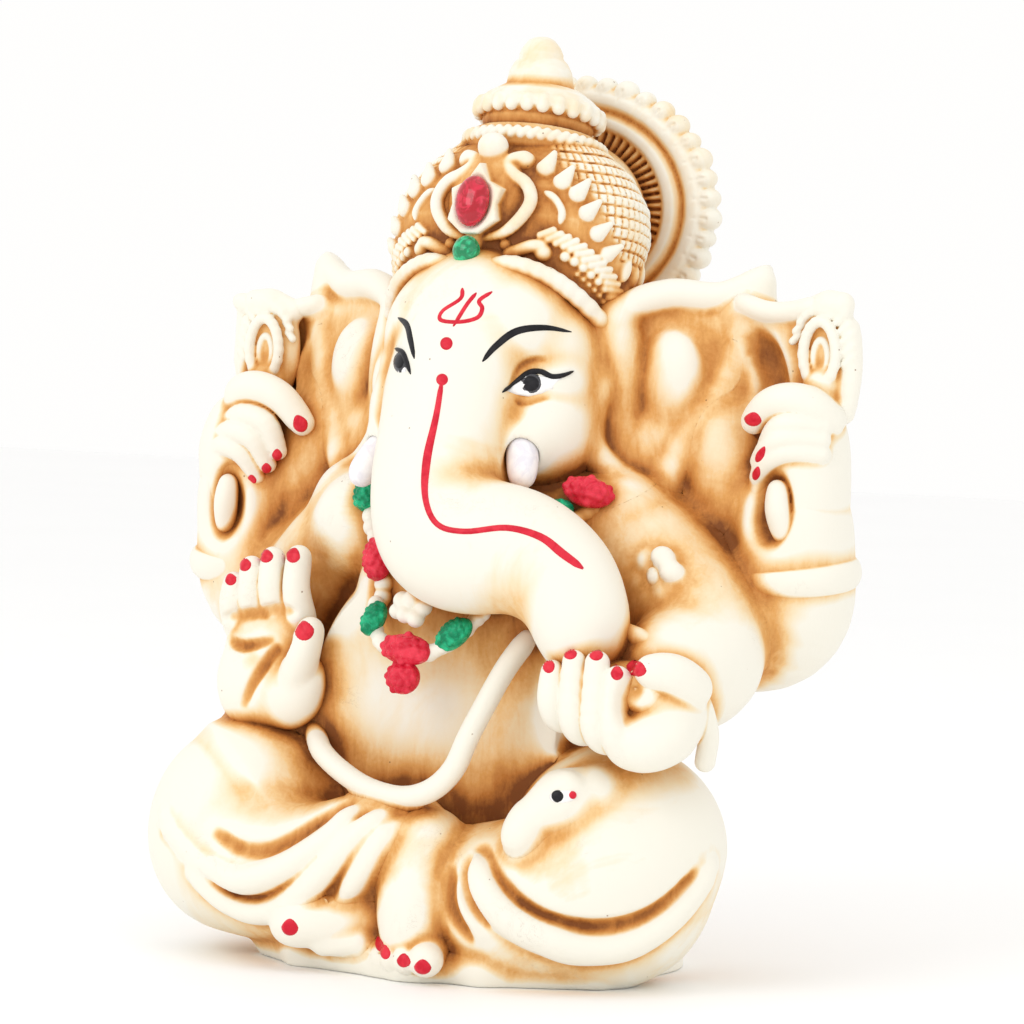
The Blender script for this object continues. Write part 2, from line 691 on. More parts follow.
def model_head(cast):
    """Skull, brow, cheeks, jaw and trunk in one."""
    skull = ball((0, 33, 192), (38.5, 38, 43)) + ball((0, 28, 158), (27, 24, 16))
    head = cast.clay("head", skull, 8, seam=3, room=((-46, -46, 98), (80, 74, 240)))
    head.add(ball((1, 12, 205), (27, 20, 19)), 14)
    for side, x, y, z in ((1, 27, 2, 189), (-1, -19, -1, 194)):
        head.add(ball((x - side, y + 12, z - 16), (16, 18, 18)), 8)
        head.cut(ball((x + side * 2, y - 7.5, z + 3), (8, 5, 6), (0, side * 8, side * 30)), 7)
        head.add(ball((x, y + 9.2, z - 0.5), (11, 9, 6.6), (0, side * 6, side * 24)), 3)
    nose = cord(
        (1, 16, 214, 12), (1, 10, 201, 15), (1, 3, 187, 16.5), (2, -4, 172, 16), (4, -13, 156, 15.5),
        (10, -20, 142, 15.3),
        (22, -23, 137.5, 14.8), (38, -21, 137.5, 13.2), (52, -19, 130, 11), (60, -21, 120, 9),
        (63, -22, 110, 7.6),
        per=6,
    )
    head.add(nose, 10)
    for crease in (
        [
            (19.5, -3, 186), (21, 0, 191.5), (25.2, 1.7, 195), (29.1, 5, 196.4), (32.4, 9.5, 195.2),
            (34, 13.2, 193.3),
        ],
        [(22, -1, 182.5), (27, 1, 181), (32, 5, 182.5)],
    ):
        head.cut(on_skin(head, crease, 0.5, 0.0), 1.2)
    head.add(ball((31, 22, 186), (9, 13, 22)), 8)
    for x, y, z in TUSK_ROOTS:
        side = math.copysign(1, x)
        head.add(limb((x - side * 2, y + 6, z + 3, 9), (x + side, y, z - 2, 7.6)), 5)
        head.cut(limb((x + side * 2.0, y - 3.5, z - 4.5, 5.4), (x + side * 6, y - 10, z - 10, 6.0)), 1.5)


TUSK_ROOTS = ((25, 2, 172), (-22, 0, 170))


def model_body():
    """The figure itself in one cast, cut level at its underside."""
    cast = Cast(BODY_STEP)
    model_seat(cast)
    model_trunk_of_body(cast)
    model_arms(cast)
    model_ears(cast)
    model_head(cast)
    whole = cast.join()
    _, _, z = whole.window(*whole_box(whole))[1]
    whole.d = np.maximum(whole.d, UNDERSIDE / MM - z)
    return cast


def whole_box(clay):
    """The box of a clay's lattice."""
    return clay.first * clay.step, (clay.first + np.array(clay.d.shape) - 1) * clay.step


CROWN_MIDDLE, CROWN_LEAN, CROWN_SQUEEZE = (0, 42, 236), 14, 0.62
DOME = [(0, -32), (38, -30), (43, -12), (45, 0), (43, 10), (36, 20), (27, 27), (0, 30)]
PETALS = [(25, 18.2), (34, 13.2), (42, 8.8), (48, 2.8), (55, -3.4), (63, -9.2)]
LATTICE_EDGE = ([-16, -9, -3, 3, 9, 13, 18, 30], [84, 72, 63, 56, 49, 42, 33, 26])


def crown_place(angle, height, radius=46.0):
    """A point beside the crown's cap: angle in degrees from the front, height along its axis."""
    a = math.radians(angle)
    q = np.array([radius * math.sin(a), -radius * CROWN_SQUEEZE * math.cos(a), height])
    return np.array(CROWN_MIDDLE) + turn_matrix((-CROWN_LEAN, 0, 0)) @ q


def crown_line(dome, path, per=4):
    """Settled points and skin directions along a path of (angle, height)."""
    return dome.settle([crown_place(*p) for p in curve(path, per)])


def spaced(points, out, gap):
    """Points along a settled line, gap mm apart, with skin directions and headings."""
    run = np.concatenate([[0], np.cumsum(np.linalg.norm(np.diff(points, axis=0), axis=1))])
    at = np.arange(gap / 2, run[-1], gap)
    heading = np.gradient(points, axis=0)

    def taken(values):
        return np.stack([np.interp(at, run, values[:, k]) for k in range(3)], 1)

    heading = taken(heading)
    return taken(points), taken(out), heading / np.linalg.norm(heading, axis=1, keepdims=True)


def beads(clay, line, gap, radius, tip=None, proud=0.3, blend=0.6):
    """A row of round beads along a settled line, shrinking to tip."""
    points, out, _ = spaced(*line, gap)
    for k, (p, n) in enumerate(zip(points, out)):
        r = radius + ((tip or radius) - radius) * k / max(1, len(points) - 1)
        clay.add(ball(p + n * proud * r, r), blend)


def braid(clay, line, gap, radius, half, slant, blend=0.6):
    """A row of short slanted rods, like a rope of leaves."""
    points, out, heading = spaced(*line, gap)
    side = np.cross(out, heading)
    for p, n, h, s in zip(points, out, heading, side):
        way = (s * math.cos(slant) + h * math.sin(slant)) * half
        clay.add(limb((*(p + n * 0.5 - way), radius), (*(p + n * 0.7 + way), radius * 0.8)), blend)


def raised(clay, line, radius, proud, ends=(0.5, 0.5), blend=0.8):
    """A rounded strap along a settled line, its radius eased at both ends."""
    points, out = line
    share = np.linspace(0, 1, len(points))
    swell = np.minimum(1, ends[0] + share * 3) * np.minimum(1, ends[1] + (1 - share) * 3)
    middle = points + out * proud
    clay.add(limb(*[(*map(float, p), float(radius * s)) for p, s in zip(middle, swell)]), blend)


def pressed_lattice(d, x, y, z):
    """Rows of small square studs pressed into the flanks and back of the cap."""
    u, v, h = local((x, y, z), CROWN_MIDDLE, (-CROWN_LEAN, 0, 0))
    angle = np.arctan2(u, -v / CROWN_SQUEEZE)
    across = np.abs((angle / math.tau * 72) % 1 - 0.5)
    along = np.abs((h / 3.5 + 0.25 * np.sin(angle * 3)) % 1 - 0.5)
    groove = np.maximum(np.clip((across - 0.3) / 0.2, 0, 1), np.clip((along - 0.3) / 0.2, 0, 1))
    edge = np.interp(h, *LATTICE_EDGE)
    inside = np.clip((np.abs(np.degrees(angle)) - edge) / 4, 0, 1) * np.clip((h + 15) / 2, 0, 1)
    return (d + inside * (1.45 * groove**1.5 - 0.5)).astype(np.float32)


def model_crown():
    """The tall crown: cap, brow band, two brims, finial and the jewelled plaque."""
    cast = Cast(CROWN_STEP)
    dome = cast.clay(
        "crown_dome", turned(DOME, CROWN_MIDDLE, CROWN_LEAN, CROWN_SQUEEZE), 0, seam=1.2, margin=5,
    )
    smooth = held(dome.d.copy(), dome.first, CROWN_STEP)
    dome.work(*whole_box(dome), pressed_lattice)
    lyre = [
        (5, -9), (13, -6.5), (19.5, -1), (22, 4), (19.5, 9), (12.5, 13), (8.3, 16.5), (9, 19.6), (14, 21.4),
    ]
    plate = [(0, 258.5), (4, 252.5), (9.2, 250), (8, 245), (9, 240), (3, 235.5)]
    plate = plate + [(-x, z) for x, z in reversed(plate[1:])]
    boss = ball((0, 19, 245), (14, 5.5, 18), (-14, 0, 0))
    plaque = cast.clay("crown_plaque", boss, 2, seam=0.8, margin=12)
    plaque.add(slab(plate, lambda x, z: 12.6 + 0.25 * (z - 246) + 0 * x, 5, 1.0), 0.8)
    plaque.cut(ball((0, 9.5, 246), (7.0, 3.2, 9.4), (-14, 0, 0)), 0.6)
    plaque.add(ball((0, 22, 263.5), (5, 5, 4.8), (-20, 0, 0)), 1)
    plaque.add(limb((0, 12, 232.5, 3.2), (0, 12, 236, 2.6)), 1)
    for side in (-1, 1):
        def placed(path, per=4):
            return crown_line(smooth, [(side * a, h) for a, h in path], per)

        raised(plaque, placed(lyre), 1.9, 1.6, (0.5, 1.0))
        plaque.add(ball(placed([(14.5, 20.6), (15, 20)])[0][0], 3.2), 0.8)
        raised(dome, placed([(27, 8), (32, 6), (36, 2), (36, -2)]), 1.0, 0.6)
        raised(dome, placed([(11, -15.5), (17, -13), (24, -10.5), (29, -10)]), 1.9, 0.7, (0.25, 1.0))
        scroll = placed([(30, -12), (31, -12.4)])[0][0]
        dome.add(ball(scroll, 2.9), 0.6)
        plaque.add(ball(placed([(13, -10.6), (13.5, -10.6)])[0][0], 2.0), 0.5)
        for k, (angle, height) in enumerate(PETALS):
            p, n = placed([(angle, height), (angle + 0.5, height)])
            big, lean = 3.9 - 0.14 * k, side * math.radians(15 + 8 * k)
            tip = p[0] + n[0] * 0.4 + np.array([math.sin(lean), 0.5, math.cos(lean)]) * big * 1.35
            dome.add(limb((*(p[0] + n[0] * 0.3), big * 0.85), (*tip, 1.0)), 0.6)
        row = [
            (29, -5), (35, -6.6), (40, -7.6), (46, -9), (54, -12), (63, -15), (72, -19), (81, -23), (91, -27),
        ]
        braid(dome, placed(row), 2.7, 1.35, 2.3, side * 0.7)
        under = [
            (38, -12), (44, -13.4), (50, -15.2), (56, -17.4), (63, -19.6), (70, -22.2), (78, -26), (86, -30),
        ]
        beads(dome, placed(under), 3.3, 1.8, 1.2)
        beads(dome, placed([(46, -17), (56, -20.6), (66, -24), (76, -29)]), 2.5, 1.0)
        for angle, height in ((80, -13), (92, -14), (104, -12), (88, -20), (100, -20), (112, -17)):
            p, n = placed([(angle, height), (angle + 1, height)])
            dome.add(ball(p[0], (2.0, 2.0, 4.2), (0, side * 22, side * angle)), 0.8)
    half = [(42, 36, 197), (40, 29, 206), (34, 20, 216), (26, 14.5, 222.5), (16, 10, 226), (8, 8.6, 225)]
    band = [(x, y, z, 2.8) for x, y, z in half] + [(0, 8, 222.5, 3.2)]
    band += [(-x, y, z, 2.8) for x, y, z in reversed(half)]
    cast.clay("crown_band", cord(*band, per=3), 1, seam=0.8)

    lower = [(0, -5), (21, -5), (23, -2), (23.4, 1), (20.5, 4.5), (0, 5)]
    centre = (0, 48.5, 263)
    low = cast.clay("crown_lower_brim", turned(lower, centre, CROWN_LEAN, 0.85, 0.4), 0, seam=0.6)
    around_brim(low, centre, 0.85, 23.4, 44, 1.5, 0.9, slant=0.6)
    upper = [
        (0, -8), (16.5, -8), (17.5, -5), (18.4, -2.6), (18, -1.5), (21, 0.5), (21.6, 2.6), (18, 6), (14, 8.6),
        (0, 9),
    ]
    centre = (0, 51, 273.5)
    high = cast.clay("crown_upper_brim", turned(upper, centre, CROWN_LEAN, 0.9, 0.3), 0, seam=0.6)
    around_brim(high, centre, 0.9, 20.4, 24, 2.1, 1.2, slant=0.0)

    bell = [
        (0, -2), (14, -2), (14.2, -0.6), (12.6, 0.8), (12.8, 2), (11.2, 3.4), (10.6, 6), (10, 9.6),
        (8.6, 12.4),
    ]
    bell += [(7.4, 13.6), (6.9, 14), (6.9, 15.4), (6, 17.6), (4, 20), (2, 20.9), (0, 21)]
    cast.clay("crown_finial", turned(bell, (0, 51, 278.7), 2, 1, 0.3), 0, seam=0.6)
    cast.join()
    return cast


def around_brim(clay, centre, squeeze, radius, count, r, height, slant):
    """Small lobes all round a brim, each a short rod from below to above."""
    m = turn_matrix((-CROWN_LEAN, 0, 0))
    for k in range(count):
        a, b = math.tau * (k - slant / 2) / count, math.tau * (k + slant / 2) / count
        ends = []
        for angle, h in ((a, -height), (b, height)):
            q = np.array([radius * math.cos(angle), squeeze * radius * math.sin(angle), h + 1.0])
            ends.append((*(np.array(centre) + m @ q), r))
        clay.add(limb(*ends), 0.4)


def model_halo():
    """The wheel behind the crown: ribs, two rims and a border of knobs."""
    middle, radii = (0, 84, 245), (47, 40)
    front = [(0, -4), (29, -4), (30.5, -5.6), (32, -6.6), (34, -6.6), (35.6, -5.2), (36.6, -3.6), (38, -4.8)]
    dish = front + [(40, -6), (42, -6), (44, -4.4), (45, -2), (45, 3), (40, 4.5), (0, 4.5)]

    def distance(p):
        x, y, z = (p[k] - middle[k] for k in range(3))
        rho = 45 * np.sqrt((x / radii[0]) ** 2 + (z / radii[1]) ** 2)
        angle = np.arctan2(z / radii[1], x / radii[0]) + 0 * y
        ribs = np.clip((rho - 12) / 4, 0, 1) * np.clip((30 - rho) / 1.5, 0, 1)
        wave = np.abs(np.sin(angle * 30)) ** 0.8
        back = np.clip((1 - y) / 2, 0, 1)
        return outline_distance(dish, rho + 0 * y, y + 0 * rho) - 0.3 + back * ribs * (1.5 - 2.6 * wave)

    cast = Cast(FINE_STEP)
    low = (-51, 74, 201)
    wheel = cast.clay("halo_wheel", [(low, (51, 94, 289), distance)], 0.5, seam=0, margin=6)
    wheel.add(ball((0, 75, 241), (27, 12, 26)), 1)
    for k, a in enumerate(angles(-32, 244, 27)):
        size = 3.7 + 0.5 * math.sin(k * 2.4)
        for t, r in ((43.5, size * 0.72), (47.2, size)):
            at = (t * math.cos(a), 82.6, 245 + t / 47 * radii[1] * math.sin(a))
            wheel.add(ball(at, (r, 4.6, r * 0.94)), 0.8)
        out = (48 * math.cos(a), 78.6, 245 + 41 * math.sin(a))
        wheel.cut(limb((*out, 0.5), (out[0] * 0.9, 77.6, 245 + 37 * math.sin(a), 0.4)), 0.6)
    cast.join()
    return cast


def raised_hand(cast, name, side):
    """A rear hand: fist with a pointing finger, bracelet under it, looped emblem over it."""
    lift = 3 if side > 0 else -5

    def at(x, y, z, r):
        return (side * x, y, z, r)

    palm = cord(
        at(102, 43, 144, 15), at(103.5, 42, 158, 14.5), at(105, 42, 168 + lift, 12.5),
        at(106, 42, 176 + lift, 9),
    )
    hand = cast.clay(name + "_rear_hand", palm, 4, seam=2, margin=16)
    if side > 0:
        pointer = [
            (115, 38, 180, 5.5), (111, 33, 184.5, 5.6), (105, 30, 186, 5.2), (98.5, 29.5, 184.2, 4.8),
            (92.5, 31, 179, 4.2),
        ]
        folded = [
            [(115, 34, 178, 3.6), (108, 28, 179, 3.5), (102.5, 27, 177, 3.3), (98, 29, 171.5, 2.8)],
            [(115, 33, 174, 3.4), (107, 27, 174.5, 3.4), (101, 26, 172, 3.2), (95.6, 29, 166.5, 2.8)],
            [(115, 33, 169.5, 3.4), (107, 27.5, 170, 3.4), (100, 27, 167, 3.2), (95, 30, 161.5, 2.8)],
        ]
        thumb = (103.8, 28, 151.4)
    else:
        pointer = [
            (104, 38, 177, 5.5), (100, 33, 181, 5.6), (92, 30, 182.5, 5.2), (83, 29.5, 179.5, 4.8),
            (75.5, 31, 171.5, 4.2),
        ]
        folded = [
            [(105, 34, 171, 3.8), (96, 28, 173.5, 3.9), (87, 27, 171, 3.7), (83.4, 29, 162, 3.0)],
            [(108, 33, 166, 3.8), (99, 27, 168, 3.8), (91, 26, 165.5, 3.6), (87.4, 29, 157.5, 3.0)],
            [(110, 33, 160.5, 3.6), (103, 27.5, 163, 3.6), (96, 27, 160.5, 3.5), (91.8, 30, 153, 2.9)],
        ]
        thumb = (102.2, 28, 144)
    hand.cut(ball((side * (thumb[0] - 2), 24, thumb[2] + 1), (7.5, 8, 12.5), (0, side * 4, 0)), 3)
    hand.add(cord(*[at(*p) for p in pointer]), 1.2)
    for finger in folded:
        hand.add(cord(*[at(*p) for p in finger]), 0.7)
    x, y, z = thumb
    hand.add(
        cord(at(x + 1, y + 1, z - 7, 3.4), at(x, y - 1, z, 3.7), at(x - 0.5, y - 0.5, z + 6.5, 3.2)), 1.0,
    )

    height = 130 if side > 0 else 124
    turn = (6, side * -4, 0)
    bangle = cast.clay(
        name + "_rear_bangle", ring((side * 101, 44, height), 17.6, 4.4, turn, squash=1.3), 0, seam=0.8,
    )
    bangle.cut(ring((side * 101, 44, height + 5.2), 20.6, 0.8, turn), 1.2)

    middle = (111, 39, 200) if side > 0 else (-96, 39, 194.5)
    x, y, z = middle
    body = ball((x, y + 5, z + 1), (10.5, 4.5, 19))
    body += limb((x - side, y + 1, z - 26, 6), (x, y + 2, z - 10, 6))
    made = cast.clay(name + "_emblem", body, 3, seam=2)
    path = []
    for a in angles(-68, 316, 19):
        drawn = 1 - 0.35 * max(0.0, -math.sin(a)) ** 1.5
        path.append((x + 5.8 * drawn * math.cos(a), y - 0.5, z + 11 * math.sin(a)))
    made.add(limb(*[(*p, 1.7) for p in path]), 0.5)
    made.add(limb(*[(x + (u - x) * 0.45, y + 0.6, z - 0.6 + (w - z) * 0.52, 1.0) for u, _, w in path]), 0.5)
    for a in angles(-8, 170, 13):
        u, w = x + side * 9.6 * math.cos(a), z + 1 + 14.6 * math.sin(a)
        made.add(limb((u - 1.2 * side, y + 1, w - 1.2, 1.3), (u + 1.0 * side, y + 1.6, w + 1.0, 1.3)), 0.4)
    rib = cord(
        (x + side * 7.5, y + 4, z - 18, 3), (x + side * 9.4, y + 4, z - 4, 3),
        (x + side * 8.5, y + 4, z + 9, 3),
    )
    made.add(rib, 1.5)
    top = limb(
        (x - side * 9, y + 5, z + 14, 3.4), (x + side, y + 3.5, z + 16.5, 3.2),
        (x + side * 6, y + 3, z + 16.5, 3.8),
    )
    made.add(top, 3)


def model_hands():
    """The four hands with what they wear and hold."""
    cast = Cast(FINE_STEP)
    for name, side in SIDES.items():
        raised_hand(cast, name, side)

    palm = ball((-62, -5, 96), (18, 8.5, 20)) + ball((-60, -7, 84), (17, 8.5, 10))
    palm += limb((-66, 1, 82, 12), (-66, 2, 92, 11))
    hand = cast.clay("right_front_hand", palm, 6, seam=2, margin=20)
    fingers = [
        (-75.5, -75.6, 106, 121.5, 3.7), (-67.8, -69, 109, 126.8, 3.9), (-59.8, -60.8, 110, 130, 4.1),
        (-50.5, -51, 109, 130.8, 4.3),
    ]
    for x0, x1, z0, z1, r in fingers:
        finger = cord(
            (x0, -6, z0, r + 0.6), ((x0 + x1) / 2, -9.6, (z0 + z1) / 2, r), (x1, -8, z1 - 1, r - 0.2),
        )
        hand.add(finger, 0.8)
    hand.add(ball((-50, -9, 87), (9.5, 7.5, 13), (0, 25, 0)), 3)
    hand.add(cord((-49, -11, 91, 6.0), (-45, -13.5, 99, 5.0), (-42.8, -13, 107, 4.4)), 1.2)
    hand.add(ball((-71, -10, 88), (8, 5, 12), (0, -8, 0)), 4)
    for path in (
        [(-76, -14, 103), (-68, -15, 101), (-58, -15, 103)],
        [(-66, -16, 82), (-62, -17, 91), (-57, -17, 99), (-50, -17, 104)],
        [(-77, -13, 108), (-68, -14, 110), (-58, -14, 112), (-50, -14, 112)],
    ):
        hand.cut(on_skin(hand, path, 0.9, 0), 2.5)

    palm = limb((66, -20, 95, 10), (88, -18, 94, 12)) + ball((91, -19, 90), (12.5, 13, 15))
    hand = cast.clay("left_front_hand", palm, 5, seam=2, margin=16)
    for x, low, high, r in (
        (59, 84, 103.5, 4.0), (66.6, 80.5, 107, 4.1), (74.8, 78.5, 107, 4.3), (82, 76.5, 102.5, 4.6),
    ):
        finger = cord(
            (x, -20, low + 2, r), (x, -30, low + 3, r + 0.3), (x, -35, low + 9, r + 0.1),
            (x, -34.5, high - 2, r - 0.4),
        )
        hand.add(finger, 0.7)
    hand.cut(ball((88, -37.5, 93.5), (4.6, 6, 7)), 4)
    hand.add(cord((100, -20, 98, 6.5), (97, -27, 102.5, 5.6), (91.5, -31.5, 103.5, 4.6)), 2)
    hand.add(cord((95, -24, 84, 8), (90, -28, 81, 7), (84, -28, 80, 6)), 4)
    sweet = cast.clay("sweet", ball((88.5, -26.5, 97), (8, 7.5, 8.6)), 1, seam=1)
    sweet.cut(ball((87, -36, 98), (5, 4, 5)), 2)
    loop = [
        (51, -8, 104), (55, -12, 110.5), (64, -14, 114), (78, -15, 112), (90, -14, 105.5), (97.5, -12, 96),
        (100.5, -9, 84), (97, -4, 74),
    ]
    cast.clay("left_front_bangle", cord(*[(*p, 3.3) for p in loop]), 0, seam=1.5)
    cast.join()
    return cast


def cluster(clay, middle, radii, turn, bead, blend=0.5):
    """A blossom pad of small studs set in a lattice over an oval mound."""
    clay.add(ball(middle, radii, turn), 0.5)
    m = turn_matrix(turn)
    rows = int(radii[2] / bead) + 1
    for j in range(-rows, rows + 1):
        for i in range(-9, 10):
            u = (i + 0.5 * (j % 2)) * bead * 1.15 / radii[0]
            v = j * bead / radii[2]
            rest = 1 - u * u - v * v
            if rest < 0.06:
                continue
            q = np.array([u * radii[0], -radii[1] * math.sqrt(rest), v * radii[2]])
            clay.add(ball(np.array(middle) + m @ (q * 0.93), bead * 0.58), blend)
    return clay


def model_garlands():
    """The flower strings: each colour of blossom is its own piece, on strings of plaster beads."""
    made = []

    def blossom(name, paint, node, middle, radii, turn, bead):
        clay = Clay(np.array(middle) - max(radii) - 4, np.array(middle) + max(radii) + 4, GARLAND_STEP)
        made.append((name, paint, node, cluster(clay, middle, radii, turn, bead)))

    blossom(
        "left_garland_rose", "red_paint", "left_garland", (46.5, 7.5, 155), (8.2, 4.2, 5), (-25, 12, 30), 2.3,
    )
    blossom(
        "left_garland_leaves", "green_stone", "left_garland", (37, 2.5, 148.5), (6.6, 4, 4), (-20, -16, 24),
        2.0,
    )
    blossom(
        "right_garland_leaves", "green_stone", "right_garland", (-31, 1, 151), (4.6, 4, 6), (-15, 0, -20),
        2.0,
    )
    blossom(
        "right_garland_rose", "red_paint", "right_garland", (-21, -8, 131), (5.2, 4.2, 7.4), (-10, -8, -15),
        2.0,
    )
    blossom(
        "necklace_right_leaves", "green_stone", "necklace", (-16.5, -17, 112.5), (3.6, 3.6, 6), (-20, 20, 0),
        1.7,
    )
    blossom(
        "necklace_left_leaves", "green_stone", "necklace", (15.5, -21, 109.5), (7.4, 3.8, 4.2), (-20, -38, 0),
        1.7,
    )
    blossom("pendant_flower", "red_paint", "pendant", (0, -24, 104), (9, 3.8, 5), (-18, 4, 0), 2.4)
    blossom("pendant_drop", "red_paint", "pendant", (-0.6, -24.6, 95.2), (5.8, 3.8, 5.4), (-10, 0, 0), 2.2)

    def string(name, node, points, gap, radius, per=3):
        clay = Clay(np.min(points, 0) - 10, np.max(points, 0) + 10, GARLAND_STEP)
        line = np.array(curve(points, per))
        places, _, _ = spaced(line, line * 0, gap)
        clay.add(limb(*[(*p, radius * 0.6) for p in line]), 0)
        for k, p in enumerate(places):
            clay.add(ball(p, radius * (1 + 0.12 * math.sin(k * 2.2))), 0.5)
        made.append((name, "plaster", node, clay))

    string(
        "left_garland_string", "left_garland", [(54, 15, 152), (46, 10, 149), (39, 4, 143.5), (30, 0, 141)],
        2.4, 2.8,
    )
    string(
        "right_garland_string", "right_garland",
        [(-34, 4, 156), (-30, 1, 147), (-26, -3, 139), (-20, -6, 127), (-19, -8, 117)], 4.0, 3.0,
    )
    string(
        "necklace_string", "necklace",
        [
            (-19, -12, 118), (-17, -16, 110), (-10, -20, 104), (0, -22, 102), (9, -22, 104), (17, -19, 110),
            (23, -14, 118),
        ],
        2.4, 2.6,
    )
    knot = Clay((-14, -32, 104), (12, -6, 128), GARLAND_STEP)
    for x, y, z, r in (
        (-5, -19, 119, 3.0), (-0.5, -20, 120, 3.0), (3.5, -20, 117.5, 2.8), (-3, -20.5, 115, 3.0),
        (1.5, -21.5, 113.8, 2.9), (-7.5, -18, 115.5, 2.6),
    ):
        knot.add(ball((x, y, z), (r, r, r)), 1.2)
    made.append(("necklace_cluster", "plaster", "necklace", knot))
    return made


# ---------------------------------------------------------------- finishes


class Shader:
    """Short names for building a node tree."""

    def __init__(self, name):
        self.material = bpy.data.materials.new(name)
        self.material.use_nodes = True
        self.tree = self.material.node_tree
        self.principled = self.tree.nodes["Principled BSDF"]
        self.principled.inputs["Specular IOR Level"].default_value = 0.22
        self.place = self.node("ShaderNodeTexCoord").outputs["Object"]

    def node(self, kind, **settings):
        made = self.tree.nodes.new(kind)
        for key, value in settings.items():
            setattr(made, key, value)
        return made

    def join(self, source, socket):
        """Sets or links a socket from a number, a colour or another socket."""
        if isinstance(source, (int, float)):
            socket.default_value = source
        elif isinstance(source, tuple):
            socket.default_value = (*source, 1.0) if len(source) == 3 else source
        else:
            self.tree.links.new(source, socket)

    def math(self, operation, a, b=0.0, clamp=False):
        made = self.node("ShaderNodeMath", operation=operation, use_clamp=clamp)
        self.join(a, made.inputs[0])
        self.join(b, made.inputs[1])
        return made.outputs[0]

    def plus(self, a, b, clamp=False):
        return self.math("ADD", a, b, clamp)

    def minus(self, a, b):
        return self.math("SUBTRACT", a, b)

    def times(self, a, b, clamp=False):
        return self.math("MULTIPLY", a, b, clamp)

    def swing(self, a, size):
        """A factor of 0 to 1 as a change either way, size from end to end."""
        return self.times(self.minus(a, 0.5), size)

    def mix(self, factor, a, b):
        made = self.node("ShaderNodeMix", data_type="RGBA")
        self.join(factor, made.inputs[0])
        self.join(a, made.inputs[6])
        self.join(b, made.inputs[7])
        return made.outputs[2]

    def noise(self, scale, detail=4.0, rough=0.55, stretch=(1, 1, 1), warp=0.0):
        place = self.node("ShaderNodeMapping")
        place.inputs["Scale"].default_value = stretch
        self.join(self.place, place.inputs["Vector"])
        made = self.node("ShaderNodeTexNoise")
        self.join(place.outputs[0], made.inputs["Vector"])
        made.inputs["Scale"].default_value = scale
        made.inputs["Detail"].default_value = detail
        made.inputs["Roughness"].default_value = rough
        made.inputs["Distortion"].default_value = warp
        return made.outputs["Fac"]

    def ramp(self, factor, *stops):
        made = self.node("ShaderNodeValToRGB")
        elements = made.color_ramp.elements
        while len(elements) < len(stops):
            elements.new(0.5)
        for element, (at, colour) in zip(elements, stops):
            element.position = at
            element.color = (*colour, 1.0) if isinstance(colour, tuple) else (colour,) * 3 + (1.0,)
        self.join(factor, made.inputs[0])
        return made.outputs["Color"]

    def span(self, value, low, high, to_low=0.0, to_high=1.0):
        """Value from low..high to to_low..to_high, eased at both ends."""
        made = self.node("ShaderNodeMapRange", interpolation_type="SMOOTHSTEP")
        for socket, given in zip(made.inputs, (value, low, high, to_low, to_high)):
            self.join(given, socket)
        return made.outputs[0]

    def attribute(self, name):
        return self.node("ShaderNodeAttribute", attribute_name=name).outputs["Fac"]

    def finish(self, colour, roughness, height=None, bump=0.3, depth=0.0004):
        """The material, with colour, roughness and a bump of depth metres where height is given."""
        self.join(colour, self.principled.inputs["Base Color"])
        self.join(roughness, self.principled.inputs["Roughness"])
        if height is not None:
            made = self.node("ShaderNodeBump")
            made.inputs["Strength"].default_value = bump
            made.inputs["Distance"].default_value = depth
            self.join(height, made.inputs["Height"])
            self.tree.links.new(made.outputs[0], self.principled.inputs["Normal"])
        return self.material


CREAM, PALE_TAN, IVORY_TAN = (0.88, 0.85, 0.75), (0.87, 0.73, 0.50), (0.84, 0.56, 0.265)
TAN, ORANGE_BROWN, DARK_BROWN = (0.72, 0.365, 0.11), (0.52, 0.20, 0.042), (0.22, 0.07, 0.016)


